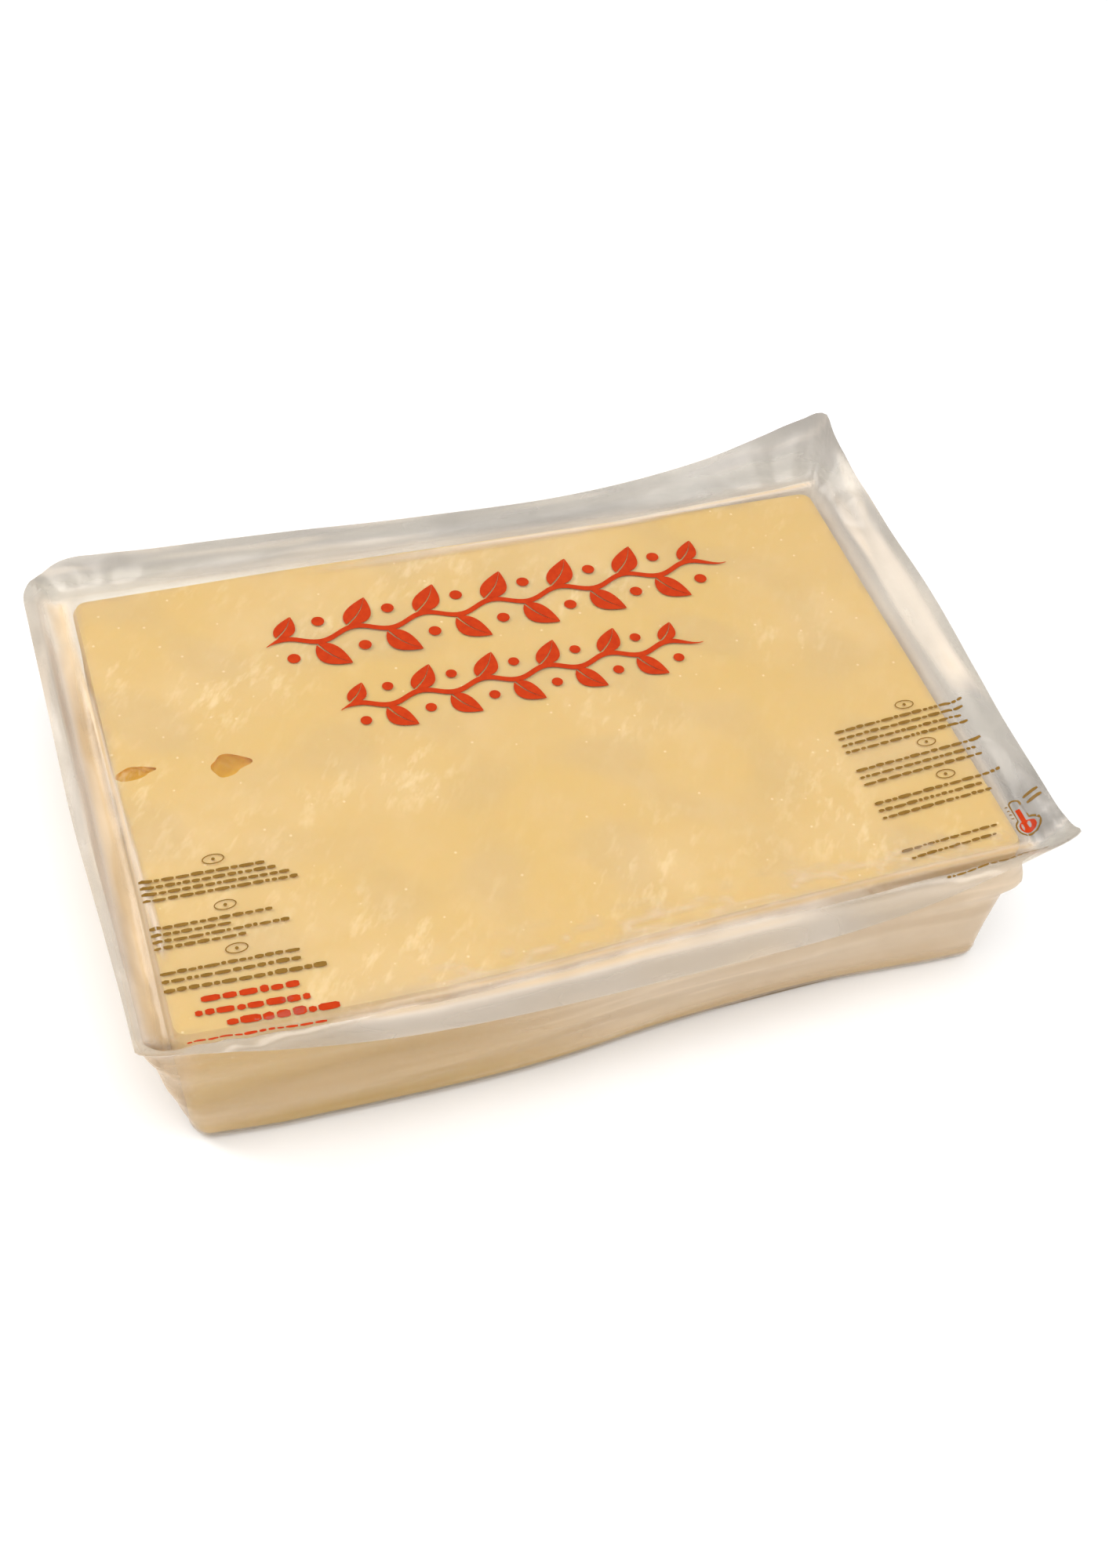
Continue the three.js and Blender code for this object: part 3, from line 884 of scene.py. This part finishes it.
def printing():
    red, dark = Ink(), Ink()
    garland(red, (-76, 55), 13, 12.2, 29, 2.0)
    garland(red, (-59, 21), 11, 10.9, 25, 1.5)
    for place, length, height, seed in (
        ((-124.5, -78.9), 28, 1.7, 101),
        ((-127.0, -82.4), 34, 1.6, 102),
        ((-119.0, -86.4), 32, 2.1, 103),
        ((-131.0, -91.0), 41, 1.2, 113),
    ):
        text_lines(red, place, (length,), 5, height, -1, seed)
    # Blocks of small print in two panels: where the marks over them stand, where the lines start
    # and how far below the mark, and their tilt.
    left, right = (-111, -134.0, 4.4, -1.5), (122.5, 94.5, 7.0, 4.5)
    for (mark, side, drop, tilt), middle, rows, pitch, seed in (
        (left, -29.9, (38, 42, 44, 46), 2.45, 104),
        (left, -47.9, (36, 24, 40, 28), 2.45, 105),
        (left, -64.4, (42, 40, 47), 2.9, 106),
        (right, -21.8, (48, 47, 45, 46), 3.05, 107),
        (right, -39.3, (47, 45, 44), 3.05, 108),
        (right, -53.9, (47, 38, 40), 3.05, 109),
    ):
        hoop(dark, (mark, middle), (3.4, 1.9), 0.35)
        disc(dark, (mark, middle), 0.55)
        text_lines(dark, (side, middle - drop), rows, pitch, 1.2, tilt, seed)
    text_lines(dark, (94.5, -81.0), (35,), 3, 1.0, 4.5, 110)
    text_lines(dark, (96.5, -84.2), (32,), 3, 1.0, 4.5, 111)
    text_lines(dark, (104.0, -94.0), (36,), 3, 0.8, 1.0, 112)
    thermometer(dark, red, (138.0, -81.5))
    return red.object("red_print"), dark.object("dark_print")


# ---- Materials ----


def linear(hex_colour):
    """The linear colour of an sRGB hex value."""
    parts = [int(hex_colour[k : k + 2], 16) / 255 for k in (1, 3, 5)]
    return [c / 12.92 if c <= 0.04045 else ((c + 0.055) / 1.055) ** 2.4 for c in parts] + [1]


def add(tree, kind, settings=(), **links):
    """Adds a node. settings set its properties, or its sockets where it has no such property, and
    each link joins a socket, named with _ for a space or by number as s0, to an output."""
    node = tree.nodes.new("ShaderNode" + kind)
    for name, value in dict(settings).items():
        if isinstance(name, str) and hasattr(node, name):
            setattr(node, name, value)
        else:
            node.inputs[name].default_value = value
    for name, source in links.items():
        socket = int(name[1:]) if name[0] == "s" and name[1:].isdigit() else name.replace("_", " ")
        tree.links.new(source, node.inputs[socket])
    return node


def new_material(name):
    material = bpy.data.materials.new(name)
    material.use_nodes = True
    tree = material.node_tree
    tree.nodes.clear()
    return material, tree


def finish_material(tree, shader):
    add(tree, "OutputMaterial", Surface=shader)


def ramp(tree, source, stops):
    node = add(tree, "ValToRGB", Fac=source)
    elements = node.color_ramp.elements
    while len(elements) < len(stops):
        elements.new(0.5)
    for element, (position, colour) in zip(elements, stops):
        element.position = position
        element.color = colour
    return node.outputs["Color"]


def position_mm(tree):
    """The object's own coordinates, in millimetres."""
    place = add(tree, "TexCoord").outputs["Object"]
    settings = {"operation": "SCALE", "Scale": 1 / MM}
    return add(tree, "VectorMath", settings, s0=place).outputs[0]


def noise(tree, place, size, detail, roughness=0.5, distortion=0.0):
    """Noise in clouds about size millimetres across."""
    settings = {"Scale": 1 / size, "Detail": detail, "Roughness": roughness, "Distortion": distortion}
    return add(tree, "TexNoise", settings, Vector=place).outputs["Fac"]


def spread(tree, value, start, end, low, high):
    """Carries value from the range start to end over to low to high, where high may be a socket."""
    settings = {"From Min": start, "From Max": end, "To Min": low}
    if isinstance(high, bpy.types.NodeSocket):
        return add(tree, "MapRange", settings, Value=value, To_Max=high).outputs[0]
    return add(tree, "MapRange", settings | {"To Max": high}, Value=value).outputs[0]


def tinted(tree, share, colour, tint):
    """A colour with a share of a plain tint mixed in."""
    settings = {"data_type": "RGBA", 7: linear(tint)}
    return add(tree, "Mix", settings, s0=share, s6=colour).outputs[2]


def mixed(tree, share, first, second):
    """A shader with a share of a second one mixed in."""
    return add(tree, "MixShader", s0=share, s1=first, s2=second).outputs[0]


CHEESE_TONES = ("#d8b772", "#d9b97a", "#dcbe86")
EYE_TONES = ("#ca960a", "#dca814", "#e8bc3c")


def pressed_cheese(name, tones, roughness, sheen):
    """Emmental-type cheese: waxy, faintly see-through and slightly mottled. Its cut faces are
    silky, and the skin of its eyes is deeper in colour and shines."""
    material, tree = new_material(name)
    place = position_mm(tree)
    mottle = noise(tree, place, 9, 4, 0.6)
    weights = {"operation": "MULTIPLY_ADD", 1: 0.35}
    both = add(tree, "Math", weights, s0=mottle, s2=noise(tree, place, 55, 3))
    base = ramp(tree, both.outputs[0], list(zip((0.50, 0.68, 0.86), map(linear, tones))))
    # Patches of short pale strokes, brushed by the knife, and tiny white crystals.
    drawn = {"vector_type": "TEXTURE", "Rotation": (0, 0, 0.95), "Scale": (2.5, 1.0, 1.0)}
    brushed = add(tree, "Mapping", drawn, Vector=place).outputs[0]
    patch = spread(tree, noise(tree, place, 48, 1), 0.46, 0.68, 0.08, 0.62)
    pale = spread(tree, noise(tree, brushed, 3.6, 3, 0.6), 0.52, 0.70, 0.0, patch)
    crystals = add(tree, "TexVoronoi", {"Scale": 1 / 6.5}, Vector=place)
    dot = spread(tree, crystals.outputs["Distance"], 0.05, 0.09, 0.8, 0.0)
    light = add(tree, "Math", {"operation": "MAXIMUM"}, s0=pale, s1=dot).outputs[0]
    # Painted shade: the sides turn a deeper olive towards the foot, most of all at the left end.
    where = add(tree, "SeparateXYZ", Vector=place)
    side_shade_strength = spread(tree, where.outputs["X"], -60.0, 40.0, 0.62, 0.3)
    painted_side_shade = spread(tree, where.outputs["Z"], 57.0, 20.0, 0.0, side_shade_strength)
    colour = tinted(tree, painted_side_shade, tinted(tree, light, base, "#f0d9ad"), "#b59647")
    grain = noise(tree, place, 0.9, 3)
    curd = add(tree, "TexVoronoi", {"Scale": 1 / 5.0, "Randomness": 1.0}, Vector=place)
    halves = {"operation": "MULTIPLY_ADD", 1: 0.5}
    relief = add(tree, "Math", halves, s0=grain, s2=curd.outputs["Distance"]).outputs[0]
    bump = add(tree, "Bump", {"Strength": 0.18, "Distance": 0.0004}, Height=relief).outputs[0]
    rough = spread(tree, mottle, 0.0, 1.0, *roughness)
    flesh = {
        "IOR": 1.45,
        "Specular IOR Level": sheen,
        "Subsurface Weight": 0.35,
        "Subsurface Radius": (1.0, 0.55, 0.25),
        "Subsurface Scale": 0.004,
    }
    links = {"Base_Color": colour, "Roughness": rough, "Normal": bump}
    finish_material(tree, add(tree, "BsdfPrincipled", flesh, **links).outputs[0])
    return material


# The film's milk tones: a painted shade where it lies over the dark gap, its own milkiness over itself,
# a pale tone where it bunches that is partly painted highlight, and a warm tone over cheese.
MILK_AND_PAINTED_LIGHT_TONES = ("#918c86", "#b3ada6", "#eadccb", "#e4c79c")


def packing_film(name, tint, milk_and_painted_light_tones):
    """Clear polyamide and polyethylene film, blown and thermoformed: a hard gloss over a slight
    milkiness that deepens where the film is doubled, stretched or stands off the cheese. The milk's
    tone also carries painted shade and painted highlights."""
    material, tree = new_material(name)
    place = position_mm(tree)
    waves = noise(tree, place, 7, 2, distortion=0.8)
    bump = add(tree, "Bump", {"Strength": 0.35, "Distance": 0.0006}, Height=waves).outputs[0]
    glance = add(tree, "LayerWeight", {"Blend": 0.5}).outputs["Facing"]
    steep = add(tree, "Math", {"operation": "POWER", 1: 5.0}, s0=glance).outputs[0]
    mirror = spread(tree, steep, 0.0, 1.0, 0.022, 0.6)
    clear = add(tree, "BsdfTransparent", {"Color": linear(tint)}).outputs[0]
    shine = {"Color": linear("#fff8f2"), "Roughness": 0.27}
    gloss = add(tree, "BsdfAnisotropic", shine, Normal=bump).outputs[0]
    milky = add(tree, "Attribute", {"attribute_name": "haze"}).outputs["Fac"]
    uneven = spread(tree, noise(tree, place, 26, 3), 0.0, 1.0, 0.75, 1.25)
    product = {"operation": "MULTIPLY", "use_clamp": True}
    amount = add(tree, "Math", product, s0=milky, s1=uneven).outputs[0]
    tone_and_painted_light = add(tree, "Attribute", {"attribute_name": "tone_and_painted_light"}).outputs["Fac"]
    milk = ramp(tree, tone_and_painted_light, list(zip((0, 0.36, 0.7, 1), map(linear, milk_and_painted_light_tones))))
    hard = {"Roughness": 0.4, "IOR": 1.5}
    body = add(tree, "BsdfPrincipled", hard, Base_Color=milk, Normal=bump).outputs[0]
    finish_material(tree, mixed(tree, amount, mixed(tree, mirror, clear, gloss), body))
    return material


def printing_ink(name, tones):
    """Flexographic ink on film: dense, satin, and a little uneven where the plate pressed less."""
    material, tree = new_material(name)
    place = position_mm(tree)
    lay = noise(tree, place, 3, 4, 0.7)
    colour = ramp(tree, lay, list(zip((0.35, 0.65), map(linear, tones))))
    rough = spread(tree, lay, 0.0, 1.0, 0.25, 0.5)
    satin = {"IOR": 1.5, "Specular IOR Level": 0.15}
    shader = add(tree, "BsdfPrincipled", satin, Base_Color=colour, Roughness=rough)
    finish_material(tree, shader.outputs[0])
    return material


# ---- Build ----

cheese = cheese_block()
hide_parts("cheese_block")
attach(cheese, "root")

tray = tray_film()
tray.data.materials.append(packing_film("thermoformed_film", "#f8f6f2", MILK_AND_PAINTED_LIGHT_TONES))
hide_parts("formed_film")
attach(tray, "root")

lid = lid_film()
lid.data.materials.append(packing_film("flat_film", "#fbfaf7", MILK_AND_PAINTED_LIGHT_TONES))
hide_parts("lid_film")
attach(lid, "root")

red_print, dark_print = printing()
red_print.data.materials.append(printing_ink("red_ink", ("#a82c03", "#b43505")))
dark_print.data.materials.append(printing_ink("dark_ink", ("#74541c", "#826026")))
for piece in (red_print, dark_print):
    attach(piece, "root")

# ---- Floor, light and camera ----


def plain_paper():
    """Matt white paper sweep."""
    material, tree = new_material("matt_paper")
    place = position_mm(tree)
    fibre = noise(tree, place, 40, 2)
    colour = ramp(tree, fibre, [(0.3, linear("#f4f4f4")), (0.7, linear("#f6f6f6"))])
    shader = add(tree, "BsdfPrincipled", {"Roughness": 0.9}, Base_Color=colour)
    finish_material(tree, shader.outputs[0])
    return material


def studio():
    half = 3.0 / MM  # the paper is six metres across
    under = -0.16  # a hair below the film
    corners = [(-half, -half, under), (half, -half, under), (half, half, under), (-half, half, under)]
    floor = mesh_object("floor", corners, [(0, 1, 2, 3)])
    floor.data.materials.append(plain_paper())

    world = bpy.data.worlds.new("studio")
    bpy.context.scene.world = world
    world.use_nodes = True
    sky = world.node_tree.nodes["Background"]
    sky.inputs["Color"].default_value = (1, 1, 1, 1)
    sky.inputs["Strength"].default_value = 0.55

    def softbox(name, place, aim, size, power):
        data = bpy.data.lights.new(name, "AREA")
        data.shape = "RECTANGLE"
        data.size, data.size_y = size
        data.energy = power
        light = placed(name, data)
        light.location = place
        light.rotation_euler = (Vector(aim) - Vector(place)).to_track_quat("-Z", "Y").to_euler()

    softbox("key", (-1.0, 0.75, 0.95), (0, 0, 0.03), (0.9, 0.7), 14)
    softbox("overhead", (0.15, -0.35, 1.3), (0, 0, 0.03), (1.0, 0.8), 13)
    softbox("fill", (0.3, -1.6, 0.7), (0, 0, 0.03), (1.2, 0.8), 6)


def camera():
    """A short telephoto from the front left, 48 degrees above the table."""
    yaw, pitch, roll = (math.radians(a) for a in (-22.47, 47.93, 6.03))
    distance, right_shift, up_shift = 0.6802, 0.01065, 0.02041
    back = Vector((math.sin(yaw) * math.cos(pitch), -math.cos(yaw) * math.cos(pitch), math.sin(pitch)))
    level = Vector((0, 0, 1)).cross(back).normalized()
    upright = back.cross(level)
    right = level * math.cos(roll) + upright * math.sin(roll)
    up = upright * math.cos(roll) - level * math.sin(roll)
    data = bpy.data.cameras.new("camera")
    data.lens = 45
    data.sensor_width = 36
    obj = placed("camera", data)
    obj.matrix_world = Matrix((right, up, back)).transposed().to_4x4()
    obj.location = back * distance + right * right_shift + up * up_shift
    bpy.context.scene.camera = obj


studio()
camera()
bpy.context.scene.view_settings.view_transform = "Standard"
